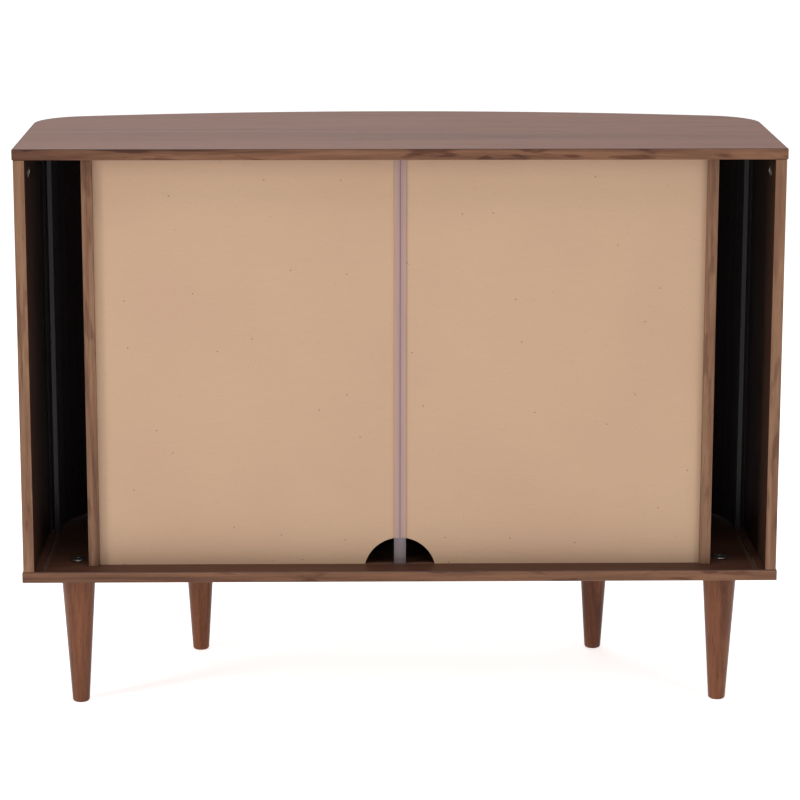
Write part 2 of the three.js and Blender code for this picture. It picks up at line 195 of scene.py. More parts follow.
def box(name, low, high):
    """A cutter or the blank of a board, between two corners."""
    outline = [(low[0], low[1]), (high[0], low[1]), (high[0], high[1]), (low[0], high[1])]
    return prism(name, outline, low[2], high[2])


def rod(name, radius, centre, low, high):
    """An upright rod round a plan point, from one height to another."""
    segments = 32
    outline = []
    for i in range(segments):
        turn = 2 * math.pi * i / segments
        outline.append((centre[0] + radius * math.cos(turn), centre[1] + radius * math.sin(turn)))
    return prism(name, outline, low, high)


def cross_rod(name, radius, x0, x1, y, z, segments=32):
    """A level rod along X."""
    turns = [2 * math.pi * i / segments for i in range(segments)]
    rings = []
    for x in (x0, x1):
        rings.append([Vector((x, y + radius * math.cos(t), z + radius * math.sin(t))) for t in turns])
    return loft(name, rings)


def lathe(name, profile, segments=48):
    """Turns (radius, z) pairs round the Z axis. The profile starts and ends on the axis."""
    rings = []
    for step in range(segments):
        turn = 2 * math.pi * step / segments
        rings.append([Vector((r * math.cos(turn), r * math.sin(turn), z)) for r, z in profile])
    count = len(profile)
    verts = [point for ring in rings for point in ring]
    faces = []
    for i in range(segments):
        here = i * count
        there = (i + 1) % segments * count
        for j in range(count - 1):
            faces.append((here + j, here + j + 1, there + j + 1, there + j))
    return mesh_from(name, verts, faces)


def finish_piece(piece, material, body, stands_for=(), angle=35):
    """Gives a piece its looks and body, and hides the CAD nodes it stands for."""
    shade(piece, angle)
    piece.data.materials.clear()
    piece.data.materials.append(material)
    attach(piece, body)
    if stands_for:
        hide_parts(*stands_for)


# --- plan outlines ---


def bow_front(side_x, corner_radius, front_radius, back_y, front_centre_y):
    """Right back corner, round the front, to the left back corner, as (x, y) points."""
    steps = 40
    corner_x = side_x - corner_radius
    turn = math.asin(corner_x / (front_radius - corner_radius))
    corner_y = front_centre_y - (front_radius - corner_radius) * math.cos(turn)
    down = -math.pi / 2
    points = [(side_x, back_y)]
    for cx, cy, radius, start, end in (
        (corner_x, corner_y, corner_radius, 0, down + turn),
        (0, front_centre_y, front_radius, down + turn, down - turn),
        (-corner_x, corner_y, corner_radius, down - turn, -math.pi),
    ):
        for i in range(steps + 1):
            angle = start + (end - start) * i / steps
            point = (cx + radius * math.cos(angle), cy + radius * math.sin(angle))
            if math.dist(point, points[-1]) > 10 * SAME_POINT:
                points.append(point)
    points.append((-side_x, back_y))
    return points


top_low, top_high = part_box("top_panel")
bottom_low, bottom_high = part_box("bottom_panel")
BACK_Y = top_high.y
FRONT_CENTRE_Y = top_low.y + FRONT_RADIUS
FLOOR_Z = bottom_high.z
CEILING_Z = top_low.z


def panel_outline(inset):
    """The outline of the top and bottom panels, drawn in by the inset all round."""
    return bow_front(
        top_high.x - inset, CORNER_RADIUS - inset, FRONT_RADIUS - inset, BACK_Y - inset, FRONT_CENTRE_Y
    )


def track_groove_outline():
    """The outline of the groove that the guide tongues run in."""
    lines = []
    for offset in TRACK_GROOVE:
        lines.append(
            bow_front(
                TRACK_SIDE_X + offset,
                TRACK_CORNER_RADIUS + offset,
                FRONT_RADIUS - TRACK_FRONT_INSET + offset,
                BACK_Y - TRACK_END,
                FRONT_CENTRE_Y,
            )
        )
    return lines[1] + lines[0][::-1]


# --- the canvas line ---


class Track:
    """The canvas line of the right door, by length from the middle of the front."""

    radius = FRONT_RADIUS - TRACK_FRONT_INSET
    corner = TRACK_CORNER_RADIUS
    corner_x = TRACK_SIDE_X - TRACK_CORNER_RADIUS
    turn = math.asin(corner_x / (radius - corner))
    corner_y = FRONT_CENTRE_Y - (radius - corner) * math.cos(turn)
    front_length = radius * turn
    corner_length = corner * (math.pi / 2 - turn)

    @classmethod
    def at(cls, length, offset=0.0):
        """The plan point at this length, moved outwards by the offset."""
        past = length - cls.front_length
        if past <= 0:
            angle = length / cls.radius
            reach = cls.radius + offset
            return Vector((reach * math.sin(angle), FRONT_CENTRE_Y - reach * math.cos(angle)))
        if past <= cls.corner_length:
            angle = cls.turn + past / cls.corner
            reach = cls.corner + offset
            return Vector((cls.corner_x + reach * math.sin(angle), cls.corner_y - reach * math.cos(angle)))
        return Vector((TRACK_SIDE_X + offset, cls.corner_y + past - cls.corner_length))

    @classmethod
    def next_hinge(cls, start):
        """The length whose point lies one slat pitch, in a straight line, from the start's."""
        low, high = start, start + 1.5 * SLAT_PITCH
        while high - low > SAME_POINT / 100:
            middle = (low + high) / 2
            if (cls.at(middle) - cls.at(start)).length < SLAT_PITCH:
                low = middle
            else:
                high = middle
        return low


# --- materials ---


def srgb(red, green, blue):
    """A colour given as 0 to 255 steps of a screen, as linear values."""
    linear = []
    for value in (red, green, blue):
        share = value / 255
        linear.append(share / 12.92 if share <= 0.04045 else ((share + 0.055) / 1.055) ** 2.4)
    return (*linear, 1.0)


class Nodes:
    """A small helper that adds and links shader nodes."""

    def __init__(self, name):
        self.material = bpy.data.materials.new(name)
        self.material.use_nodes = True
        self.tree = self.material.node_tree
        self.shader = self.tree.nodes["Principled BSDF"]

    def add(self, kind, **settings):
        node = self.tree.nodes.new(kind)
        for key, value in settings.items():
            setattr(node, key, value)
        return node

    def link(self, source, target):
        self.tree.links.new(source, target)

    def feed(self, socket, value):
        """Sets a socket to a number or colour, or links another node's output to it."""
        if isinstance(value, (int, float, tuple)):
            socket.default_value = value
        else:
            self.link(value, socket)

    def give(self, name, value):
        """Feeds one of the shader's own sockets."""
        self.feed(self.shader.inputs[name], value)

    def coordinates(self, scale, slant=0.0):
        """Object coordinates, turned by the slant about Y and then stretched."""
        place = self.add("ShaderNodeTexCoord")
        mapping = self.add("ShaderNodeMapping")
        mapping.inputs["Scale"].default_value = scale
        mapping.inputs["Rotation"].default_value = (0.0, slant, 0.0)
        self.link(place.outputs["Object"], mapping.inputs["Vector"])
        return mapping.outputs["Vector"]

    def noise(self, vector, scale, detail, roughness=0.55, distortion=0.0):
        node = self.add("ShaderNodeTexNoise")
        node.inputs["Scale"].default_value = scale
        node.inputs["Detail"].default_value = detail
        node.inputs["Roughness"].default_value = roughness
        node.inputs["Distortion"].default_value = distortion
        self.link(vector, node.inputs["Vector"])
        return node.outputs["Fac"]

    def ramp(self, value, stops):
        """A colour ramp with these (position, colour) stops."""
        node = self.add("ShaderNodeValToRGB")
        elements = node.color_ramp.elements
        while len(elements) < len(stops):
            elements.new(0.5)
        for element, (position, color) in zip(elements, stops):
            element.position = position
            element.color = color
        self.link(value, node.inputs["Fac"])
        return node.outputs["Color"]

    def math(self, operation, first, second=0.0):
        node = self.add("ShaderNodeMath", operation=operation)
        for socket, value in zip(node.inputs, (first, second)):
            self.feed(socket, value)
        return node.outputs[0]

    def mix(self, kind, share, first, second):
        node = self.add("ShaderNodeMix", data_type="RGBA", blend_type=kind)
        sockets = (node.inputs[0], node.inputs[6], node.inputs[7])  # Factor, A and B of a colour mix
        for socket, value in zip(sockets, (share, first, second)):
            self.feed(socket, value)
        return node.outputs[2]

    def bump(self, height, strength, distance):
        node = self.add("ShaderNodeBump")
        node.inputs["Strength"].default_value = strength
        node.inputs["Distance"].default_value = distance
        self.link(height, node.inputs["Height"])
        self.link(node.outputs["Normal"], self.shader.inputs["Normal"])


def grey(value):
    """An even grey, as a linear value."""
    return (value, value, value, 1.0)


PLAIN = (1.0, 1.0, 1.0)
PORE_TONE = srgb(120, 86, 66)
FLECK_TONE = srgb(150, 116, 108)
SPECK_TONE = srgb(78, 52, 38)


def stretch(grain, share):
    """Texture scale that draws a pattern out along the grain, x or z."""
    return (share, 1.0, 1.0) if grain == "x" else (1.0, 1.0, share)


def walnut(
    name, light, middle, dark, grain, figure,
    roughness=0.42, tones=0.0, slant=0.0, shine=0.25, flecks=0.0,
):
    """Lacquered walnut: broad figure, fine fibres and short dark pores, all along the grain.

    figure is the scale of the broad figure, tones how far pieces differ by their "tone", slant
    the tilt of the grain in radians, shine the specular level, flecks the strength of dark marks.
    """
    n = Nodes(name)
    stretched = n.coordinates(stretch(grain, 0.05), slant)
    plain = n.coordinates(PLAIN)
    drift = n.noise(plain, 2.3, detail=2.0)
    bands = n.noise(stretched, figure, detail=5.0, roughness=0.6, distortion=0.9)
    fibres = n.noise(stretched, 620.0, detail=3.0, roughness=0.7)
    pore_noise = n.noise(n.coordinates(stretch(grain, 0.03)), 950.0, detail=2.0)
    pores = n.ramp(pore_noise, [(0.60, grey(0.0)), (0.70, grey(1.0))])
    value = n.math("ADD", n.math("MULTIPLY", bands, 0.8), n.math("MULTIPLY", drift, 0.2))
    color = n.ramp(value, [(0.32, dark), (0.44, middle), (0.56, light), (0.70, middle)])
    lines = n.noise(n.coordinates(stretch(grain, 0.02), slant), 190.0, detail=4.0, roughness=0.65)
    line_tone = n.ramp(lines, [(0.32, grey(0.70)), (0.5, grey(1.0)), (0.7, grey(1.16))])
    color = n.mix("MULTIPLY", 0.75, color, line_tone)
    fibre_tone = n.ramp(fibres, [(0.25, grey(0.78)), (0.75, grey(1.14))])
    color = n.mix("MULTIPLY", 0.8, color, fibre_tone)
    color = n.mix("MULTIPLY", n.math("MULTIPLY", pores, 0.4), color, PORE_TONE)
    if flecks:
        marks = n.noise(n.coordinates(stretch(grain, 0.16), 4 * slant), 85.0, detail=2.0, distortion=0.4)
        patches = n.noise(plain, 7.0, detail=1.0)
        clustered = n.math("ADD", marks, n.math("MULTIPLY", patches, 0.5))
        strength = n.ramp(clustered, [(0.82, grey(0.0)), (0.9, grey(flecks))])
        color = n.mix("MULTIPLY", strength, color, FLECK_TONE)
    if tones:
        tone = n.add("ShaderNodeAttribute", attribute_name="tone")
        swing = n.ramp(tone.outputs["Fac"], [(0.0, grey(1 - tones)), (1.0, grey(1 + tones))])
        color = n.mix("MULTIPLY", 1.0, color, swing)
    n.give("Base Color", color)
    uneven = n.math("ADD", n.math("MULTIPLY", fibres, 0.16), roughness - 0.08)
    n.give("Roughness", uneven)
    n.give("Specular IOR Level", shine)
    relief = n.math("SUBTRACT", n.math("MULTIPLY", fibres, 0.4), n.math("MULTIPLY", pores, 0.8))
    n.bump(relief, 0.5, 0.12 * MM)
    return n.material


def hardboard():
    """Smooth pressed board: an even felted tone with faint fibres and a few dark specks."""
    n = Nodes("hardboard")
    plain = n.coordinates(PLAIN)
    clouds = n.noise(plain, 4.0, detail=2.0)
    felt = n.noise(plain, 420.0, detail=5.0, roughness=0.7)
    fibres = n.noise(n.coordinates((0.12, 1.0, 1.0)), 380.0, detail=3.0)
    tans = [(0.3, srgb(171, 139, 113)), (0.55, srgb(173, 142, 115)), (0.75, srgb(175, 144, 117))]
    color = n.ramp(clouds, tans)
    color = n.mix("MULTIPLY", 0.7, color, n.ramp(felt, [(0.3, grey(0.92)), (0.7, grey(1.06))]))
    color = n.mix("MULTIPLY", 0.25, color, n.ramp(fibres, [(0.3, grey(0.93)), (0.7, grey(1.05))]))
    for cells_per_metre, radius, strength in ((9.0, 0.9 * MM, 0.85), (17.0, 0.6 * MM, 0.45)):
        cells = n.add("ShaderNodeTexVoronoi", feature="F1", voronoi_dimensions="2D")
        cells.inputs["Scale"].default_value = cells_per_metre
        sheet = n.add("ShaderNodeMapping")
        sheet.inputs["Rotation"].default_value = (math.pi / 2, 0.0, 0.0)
        n.link(plain, sheet.inputs["Vector"])
        n.link(sheet.outputs["Vector"], cells.inputs["Vector"])
        edge = radius * cells_per_metre
        specks = n.ramp(cells.outputs["Distance"], [(0.6 * edge, grey(1.0)), (1.3 * edge, grey(0.0))])
        color = n.mix("MIX", n.math("MULTIPLY", specks, strength), color, SPECK_TONE)
    n.give("Base Color", color)
    n.give("Roughness", 0.72)
    n.bump(felt, 0.35, 0.15 * MM)
    return n.material


def milky_plastic(hole_top):
    """Frosted strip, opaque: its milky tint with the lit board behind it painted in as a rosy tone, the shade
    of the cable hole behind it painted in as grey, and the web inside as a dark middle line.

    hole_top is the height at which the hole ends.
    """
    n = Nodes("milky_plastic")
    span = 10 * MM  # the unit of both ramps
    place = n.add("ShaderNodeTexCoord")
    axes = n.add("ShaderNodeSeparateXYZ")
    n.link(place.outputs["Object"], axes.inputs["Vector"])
    off_centre = n.math("MULTIPLY", n.math("ABSOLUTE", axes.outputs["X"]), 1 / span)
    over_board = n.math("MULTIPLY", n.math("SUBTRACT", axes.outputs["Z"], hole_top - span / 2), 1 / span)
    streaks = n.noise(n.coordinates((1.0, 1.0, 0.04)), 300.0, detail=3.0)
    # Painted see-through: the dark middle line stands for the web inside, the rest for the strip's tint with
    # the lit board behind it
    board_behind_tones = [(0.04, srgb(100, 70, 82)), (0.09, srgb(142, 114, 108)), (0.8, srgb(154, 124, 112))]
    board_behind_tint = n.ramp(off_centre, board_behind_tones)
    # Painted shade: the strip's tint darkened where the dark cable hole lies behind it
    hole_shade_tint = n.ramp(off_centre, [(0.04, srgb(104, 90, 92)), (0.8, srgb(88, 78, 80))])
    color = n.mix("MIX", n.ramp(over_board, [(0.45, grey(0.0)), (0.55, grey(1.0))]), hole_shade_tint, board_behind_tint)
    color = n.mix("MULTIPLY", 0.6, color, n.ramp(streaks, [(0.3, grey(0.9)), (0.7, grey(1.08))]))
    n.give("Base Color", color)
    n.give("Roughness", 0.3)
    n.give("IOR", 1.5)
    n.bump(streaks, 0.2, 0.1 * MM)
    return n.material


def canvas():
    """Black cotton duck: a plain weave of two crossed wave patterns."""
    n = Nodes("black_canvas")
    threads = []
    for direction in ("X", "Z"):
        wave = n.add("ShaderNodeTexWave", bands_direction=direction)
        wave.inputs["Scale"].default_value = 330.0
        wave.inputs["Distortion"].default_value = 0.6
        n.link(n.coordinates(PLAIN), wave.inputs["Vector"])
        threads.append(wave.outputs["Fac"])
    height = n.math("MULTIPLY", *threads)
    fuzz = n.noise(n.coordinates(PLAIN), 240.0, detail=4.0)
    color = n.ramp(fuzz, [(0.3, srgb(40, 26, 30)), (0.7, srgb(60, 42, 46))])
    weave = n.ramp(height, [(0.0, grey(0.6)), (0.6, grey(1.0))])
    n.give("Base Color", n.mix("MULTIPLY", 0.5, color, weave))
    n.give("Roughness", 0.92)
    n.give("Sheen Weight", 0.05)
    n.give("Specular IOR Level", 0.15)
    n.bump(height, 0.6, 0.3 * MM)
    return n.material


def pile():
    """Dark brush pile: fine upright hairs with a soft sheen."""
    n = Nodes("brush_pile")
    hairs = n.noise(n.coordinates((1.0, 1.0, 3.0)), 700.0, detail=4.0, roughness=0.7)
    color = n.ramp(hairs, [(0.3, srgb(30, 24, 24)), (0.7, srgb(58, 50, 50))])
    n.give("Base Color", color)
    n.give("Roughness", 0.9)
    n.give("Sheen Weight", 0.3)
    n.bump(hairs, 0.8, 0.4 * MM)
    return n.material


def plated_steel():
    """Dull plating, a little uneven in tone and gloss."""
    n = Nodes("plated_steel")
    scuffs = n.noise(n.coordinates(PLAIN), 260.0, detail=5.0)
    color = n.ramp(scuffs, [(0.3, srgb(134, 131, 126)), (0.7, srgb(160, 157, 151))])
    n.give("Base Color", color)
    n.give("Roughness", n.ramp(scuffs, [(0.3, grey(0.34)), (0.7, grey(0.5))]))
    n.give("Metallic", 1.0)
    n.bump(scuffs, 0.15, 0.1 * MM)
    return n.material


def grey_plastic():
    """Moulded plastic with a fine grain, its grey painted dark as shade of the pocket it runs in."""
    n = Nodes("grey_plastic")
    grain = n.noise(n.coordinates(PLAIN), 900.0, detail=3.0)
    # Painted shade: the grey made darker for the dark pocket the strip runs in
    color = n.ramp(grain, [(0.3, srgb(27, 22, 24)), (0.7, srgb(37, 31, 33))])
    n.give("Base Color", color)
    n.give("Roughness", 0.4)
    n.bump(grain, 0.2, 0.1 * MM)
    return n.material


def particle_board():
    """The chipboard core that shows in a groove or a drilled hole."""
    n = Nodes("particle_board")
    chips = n.noise(n.coordinates(PLAIN), 500.0, detail=4.0, roughness=0.8)
    color = n.ramp(chips, [(0.3, srgb(70, 48, 34)), (0.7, srgb(112, 82, 58))])
    n.give("Base Color", color)
    n.give("Roughness", 0.85)
    n.bump(chips, 0.6, 0.4 * MM)
    return n.material


PANEL = walnut(
    "walnut_panel", srgb(124, 82, 64), srgb(116, 74, 58), srgb(100, 62, 48), "x", figure=18.0, shine=0.27
)
# Painted shade: the panel walnut made darker for the cabinet's floor, which lies in shade under the top
PANEL_PAINTED_SHADE = walnut(
    "walnut_floor_painted_shade", srgb(80, 52, 40), srgb(72, 46, 35), srgb(58, 34, 25), "x", figure=18.0, shine=0.1
)
BAND_X = walnut(
    "walnut_band_x", srgb(116, 81, 60), srgb(93, 62, 46), srgb(56, 33, 26), "x",
    figure=44.0, slant=0.045, shine=0.14, flecks=0.65,
)
BAND_Z = walnut(
    "walnut_band_z", srgb(126, 94, 72), srgb(110, 78, 59), srgb(80, 53, 40), "z",
    figure=50.0, slant=0.03, shine=0.14, flecks=0.4,
)
CASE = walnut("walnut_case", srgb(116, 82, 62), srgb(102, 70, 53), srgb(82, 53, 40), "z", figure=22.0)
# Painted shade: the case walnut made darker for the faces that line the dark pockets
CASE_PAINTED_SHADE = walnut("walnut_inside_painted_shade", srgb(58, 36, 26), srgb(50, 31, 22), srgb(40, 24, 17), "z", figure=22.0)
DARK_LINE = walnut("walnut_dark_line", srgb(66, 42, 34), srgb(58, 36, 30), srgb(46, 28, 24), "x", figure=60.0)
SLAT = walnut(
    "walnut_slat", srgb(128, 88, 64), srgb(108, 72, 52), srgb(82, 52, 38), "z",
    figure=34.0, roughness=0.38, tones=0.14,
)
LEG = walnut(
    "leg_wood", srgb(112, 68, 44), srgb(96, 56, 36), srgb(77, 43, 28), "z",
    figure=40.0, roughness=0.36, shine=0.16,
)
PULL_WOOD = walnut(
    "pull_wood", srgb(92, 59, 40), srgb(76, 47, 32), srgb(58, 34, 23), "z", figure=60.0, roughness=0.34
)
HARDBOARD = hardboard()
MILKY = milky_plastic(FLOOR_Z - CABLE_HOLE_DROP + CABLE_HOLE_RADIUS)
CANVAS_CLOTH = canvas()
PILE = pile()
STEEL = plated_steel()
GREY_PLASTIC = grey_plastic()
CHIPBOARD = particle_board()


# --- top and bottom panels ---


WALL_MARGIN = 0.5 * MM  # a cut wall's middle lies at least this far inside the board
EDGE_MARGIN = 1.5 * MM  # and this far from its straight edges
BOW_MARGIN = 5 * MM  # and this far from its bowed front


def middle_of(node):
    low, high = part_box(node)
    return (low + high) / 2


def paint(piece, material, is_meant):
    """Gives some of the faces another material."""
    piece.data.materials.append(material)
    index = len(piece.data.materials) - 1
    for polygon in piece.data.polygons:
        if is_meant(polygon):
            polygon.material_index = index


def groove_cutters(z_low, z_high):
    """The door track and the slot of the back boards, between two heights."""
    track = prism("cut_track", track_groove_outline(), z_low, z_high)
    left_low, left_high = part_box("back_board_left")
    play = BOARD_GROOVE_PLAY
    reach = -left_low.x + play
    slot = box("cut_slot", (-reach, left_low.y - play, z_low), (reach, left_high.y + play, z_high))
    return [track, slot]


def make_edge_band(name, low, high):
    """The band round a panel, with a dark eased line along its upper edge."""
    b = ARRIS
    section = [(0, low.z + b), (0, high.z - b), (b, high.z), (BAND, high.z), (BAND, low.z), (b, low.z)]
    lines = [[Vector((x, y, z)) for x, y in panel_outline(offset)] for offset, z in section]
    band = loft(f"{name}_edge_band", list(zip(*lines)), closed_path=True)
    finish_piece(band, BAND_X, "root")

    def is_eased_edge(polygon):
        return 0.3 < polygon.normal.z < 0.95

    paint(band, DARK_LINE, is_eased_edge)


def make_panel(name, low, high, groove_floor, groove_mouth, holes=()):
    """A veneered board with its grooves and holes, in which the chipboard shows."""
    core = prism(f"{name}_board", panel_outline(BAND), low.z, high.z)
    z_low, z_high = sorted((groove_floor, groove_mouth))
    carve(core, [*groove_cutters(z_low, z_high), *holes])
    soften(core, CORE_EASING, segments=1)
    finish_piece(core, PANEL, "root", [name])

    def is_cut(polygon):
        c = polygon.center
        on_wall = low.z + WALL_MARGIN < c.z < high.z - WALL_MARGIN and abs(polygon.normal.z) < 0.5
        in_groove = z_low < c.z < z_high and low.z + MM < c.z < high.z - MM
        from_edge = min(top_high.x - abs(c.x), BACK_Y - c.y)
        from_centre = math.dist((c.x, c.y), (0, FRONT_CENTRE_Y))
        return (on_wall or in_groove) and from_edge > EDGE_MARGIN and from_centre < FRONT_RADIUS - BOW_MARGIN

    def is_upper_face(polygon):
        return polygon.normal.z > 0.9 and polygon.center.z > high.z - 0.1 * MM

    paint(core, CHIPBOARD, is_cut)
    # The floor's upper face gets painted shade, a darker walnut
    if name == "bottom_panel":
        paint(core, PANEL_PAINTED_SHADE, is_upper_face)
    make_edge_band(name, low, high)


bolt_names = [n for n in sorted(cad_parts) if n.startswith("leg_bolt_")]


def bolt_holes():
    radius = BOLT_SHANK + DRILL_PLAY
    low, high = bottom_low.z - MM, bottom_high.z + MM
    return [rod("cut_bolt", radius, middle_of(bolt), low, high) for bolt in bolt_names]


make_panel("top_panel", top_low, top_high, CEILING_Z + TRACK_GROOVE_DEPTH, CEILING_Z - MM)
make_panel("bottom_panel", bottom_low, bottom_high, FLOOR_Z - TRACK_GROOVE_DEPTH, FLOOR_Z + MM, bolt_holes())


# --- sides, partitions and shelf ---


def banded_board(node, material, slot, band_material, bands, cutters=(), painted_shade_side=0):
    """A veneered board with an edge band on the named ends of its Y extent.

    The last argument is 1 or -1 where the board's right or left face lines a dark pocket; that face gets
    painted shade, a darker walnut.
    """
    low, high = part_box(node)
    core_low, core_high = low.copy(), high.copy()
    if "back" in bands:
        core_high.y -= BAND
    if "front" in bands:
        core_low.y += BAND
    core = soften(box(f"{node}_board", core_low, core_high), CORE_EASING, segments=1)
    if cutters:
        carve(core, cutters)
    finish_piece(core, material, "root", [node])
    if painted_shade_side:
        # Painted shade: the face towards the dark pocket gets the darker walnut
        paint(core, CASE_PAINTED_SHADE, lambda polygon: polygon.normal.x * painted_shade_side > 0.5)
    for end in bands:
        band_low, band_high = low.copy(), high.copy()
        if end == "back":
            band_low.y = high.y - BAND
        else:
            band_high.y = low.y + BAND
        band = box(f"{node}_{end}_band", band_low, band_high)
        soften(band, ARRIS / 2, segments=2)
        finish_piece(band, band_material, "root")


def cam_hole(side, sign):
    """The blind hole of the cam lock, open on the pocket's side."""
    low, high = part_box(f"cam_lock_{side}")
    radius = (high.z - low.z) / 2 + DRILL_PLAY
    y, z = (low.y + high.y) / 2, (low.z + high.z) / 2
    ends = (low.x - MM, high.x + DRILL_PLAY) if sign > 0 else (low.x - DRILL_PLAY, high.x + MM)
    return cross_rod("cut_cam", radius, *ends, y, z)


def partition_cutters(side, sign):
    """The slot of the back board and the two rows of shelf pin holes."""
    low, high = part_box(f"partition_{side}")
    inner = high.x if sign < 0 else low.x
    board_low, board_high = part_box(f"back_board_{side}")
    play = BOARD_GROOVE_PLAY
    x = sorted((inner - sign * MM, inner + sign * BOARD_GROOVE_DEPTH))
    slot_low = (x[0], board_low.y - play, low.z - MM)
    slot_high = (x[1], board_high.y + play, high.z + MM)
    cutters = [box("cut_slot", slot_low, slot_high)]
    for row in ("rear", "front"):
        pin_low, pin_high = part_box(f"shelf_pin_{row}_{side}")
        radius = (pin_high.z - pin_low.z) / 2 + DRILL_PLAY
        y, z = (pin_low.y + pin_high.y) / 2, (pin_low.z + pin_high.z) / 2
        depth = max(abs(pin_low.x), abs(pin_high.x)) + DRILL_PLAY
        for step in PIN_HOLE_STEPS:
            ends = (inner - sign * MM, sign * depth)
            cutters.append(cross_rod("cut_pin", radius, *ends, y, z + step * PIN_HOLE_PITCH, segments=20))
    return cutters


def make_dust_strip(side, sign):
    """A brush of dark pile at the front of the side panel that closes its gap to the slats."""
    low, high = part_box(f"side_panel_{side}")
    base = min(abs(low.x), abs(high.x))
    reach = base - (TRACK_SIDE_X + SLAT_THICKNESS + DUST_STRIP_PLAY)
    centre_y = low.y + DUST_STRIP_WIDTH
    half = DUST_STRIP_WIDTH / 2
    backing = 2 * MM
    tip_length, tip_half = 1.5 * MM, 1.6 * MM
    tip_x = base - reach + tip_length
    steps = 8
    outline = [(base, centre_y - half), (base, centre_y + half), (base - backing, centre_y + half)]
    for step in range(steps + 1):
        turn = math.pi * step / steps
        outline.append((tip_x - tip_length * math.sin(turn), centre_y + tip_half * math.cos(turn)))
    outline.append((base - backing, centre_y - half))
    points = [(sign * x, y) for x, y in outline]
    end_play = 0.2 * MM
    strip = prism(f"side_panel_{side}_dust_strip", points, low.z + end_play, high.z - end_play)
    finish_piece(strip, PILE, "root")


case_board = (CASE, "walnut_case", BAND_Z, ("back", "front"))
for side, sign in SIDES.items():
    banded_board(f"side_panel_{side}", *case_board, [cam_hole(side, sign)], painted_shade_side=-sign)
    banded_board(f"partition_{side}", *case_board, partition_cutters(side, sign), painted_shade_side=sign)
for side, sign in SIDES.items():
    make_dust_strip(side, sign)
banded_board("shelf", PANEL, "walnut_panel", BAND_X, ("front",))


# --- back ---


def make_back_board(side, sign):
    """Half of the back, with its quarter of the cable hole."""
    low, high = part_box(f"back_board_{side}")
    inner = min(abs(low.x), abs(high.x))
    outer = max(abs(low.x), abs(high.x))
    centre_z = FLOOR_Z - CABLE_HOLE_DROP
    start = math.acos(inner / CABLE_HOLE_RADIUS)
    end = math.asin((low.z - centre_z) / CABLE_HOLE_RADIUS)
    outline = [(outer, low.z), (outer, high.z), (inner, high.z)]
    steps = 36
    for i in range(steps + 1):
        angle = start + (end - start) * i / steps
        outline.append((CABLE_HOLE_RADIUS * math.cos(angle), centre_z + CABLE_HOLE_RADIUS * math.sin(angle)))
    rings = [[Vector((sign * x, y, z)) for x, z in outline] for y in (low.y, high.y)]
    board = loft(f"back_board_{side}_sheet", rings)
    soften(board, SHEET_EASING, segments=2)
    finish_piece(board, HARDBOARD, "root", [f"back_board_{side}"])


for side, sign in SIDES.items():
    make_back_board(side, sign)


def make_strip():
    """The H profile: two flanges with rounded lips, and the web between the boards."""
    low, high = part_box("back_joining_strip")
    board_low, board_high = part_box("back_board_left")
    half = (high.x - low.x) / 2
    middle_y = (low.y + high.y) / 2
    outer = high.y - middle_y
    slot = (board_high.y - board_low.y) / 2 + BOARD_GROOVE_PLAY
    lip = (outer - slot) / 2
    for where, facing in (("back", 1), ("front", -1)):
        outline = []
        for degrees in range(90, -91, -15):
            turn = math.radians(degrees)
            outline.append((half - lip + lip * math.cos(turn), slot + lip + lip * math.sin(turn)))
        outline += [(-x, y) for x, y in reversed(outline)]
        places = [(x, middle_y + facing * y) for x, y in outline]
        flange = prism(f"back_joining_strip_{where}_flange", places, low.z, high.z)
        stands_for = ["back_joining_strip"] if where == "back" else ()
        finish_piece(flange, MILKY, "root", stands_for)
    web_half = 0.6 * MM
    web_low = (-web_half, middle_y - slot, low.z)
    web_high = (web_half, middle_y + slot, high.z)
    web = box("back_joining_strip_web", web_low, web_high)
    soften(web, 0.1 * MM, segments=1)
    finish_piece(web, MILKY, "root")


make_strip()


# --- legs and fittings ---


def make_leg(node):
    """A turned leg that tapers to half its width, with a rounded foot."""
    low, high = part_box(node)
    centre = (low + high) / 2
    top_radius = (high.x - low.x) / 2
    foot_radius = top_radius / 2
    round_foot = 3.5 * MM
    steps = 8
    profile = [(0, low.z), (foot_radius - round_foot, low.z)]
    for step in range(1, steps + 1):
        turn = math.pi / 2 * step / steps
        radius = foot_radius - round_foot * (1 - math.sin(turn))
        profile.append((radius, low.z + round_foot * (1 - math.cos(turn))))
    widening = top_radius - foot_radius
    shaft = high.z - low.z - round_foot
    for share in (0.25, 0.5, 0.75, 0.985):
        profile.append((foot_radius + widening * share, low.z + round_foot + shaft * share))
    profile += [(top_radius - ARRIS, high.z - ARRIS / 2), (top_radius - 2 * ARRIS, high.z), (0, high.z)]
    leg = lathe(f"{node}_turned", profile, segments=72)
    leg.data.transform(Matrix.Translation((centre.x, centre.y, 0)))
    finish_piece(leg, LEG, "root", [node])


def make_bolt(node):
    """A bolt with a flat head, seen on the cabinet's floor, and a hex socket in it."""
    low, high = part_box(node)
    centre = (low + high) / 2
    head = (high.x - low.x) / 2
    head_low = high.z - 2 * MM
    dome = [(head - 1.0 * MM, head_low + 1.4 * MM), (head - 3 * MM, high.z), (0, high.z)]
    tip = 0.6 * MM
    profile = [(0, low.z), (BOLT_SHANK - tip, low.z), (BOLT_SHANK, low.z + tip), (BOLT_SHANK, head_low)]
    profile += [(head - 0.2 * MM, head_low), (head, head_low + 0.4 * MM), *dome]
    bolt = lathe(f"{node}_flat_head", profile)
    socket_radius, socket_depth = 2.9 * MM, 1.6 * MM
    turns = [math.radians(60 * i) for i in range(6)]
    socket = [(socket_radius * math.cos(turn), socket_radius * math.sin(turn)) for turn in turns]
    carve(bolt, [prism("cut_hex", socket, high.z - socket_depth, high.z + MM)])
    bolt.data.transform(Matrix.Translation((centre.x, centre.y, 0)))
    finish_piece(bolt, STEEL, "root", [node])


for node in sorted(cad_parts):
    if node.startswith("leg_") and node not in bolt_names:
        make_leg(node)
for node in bolt_names:
    make_bolt(node)


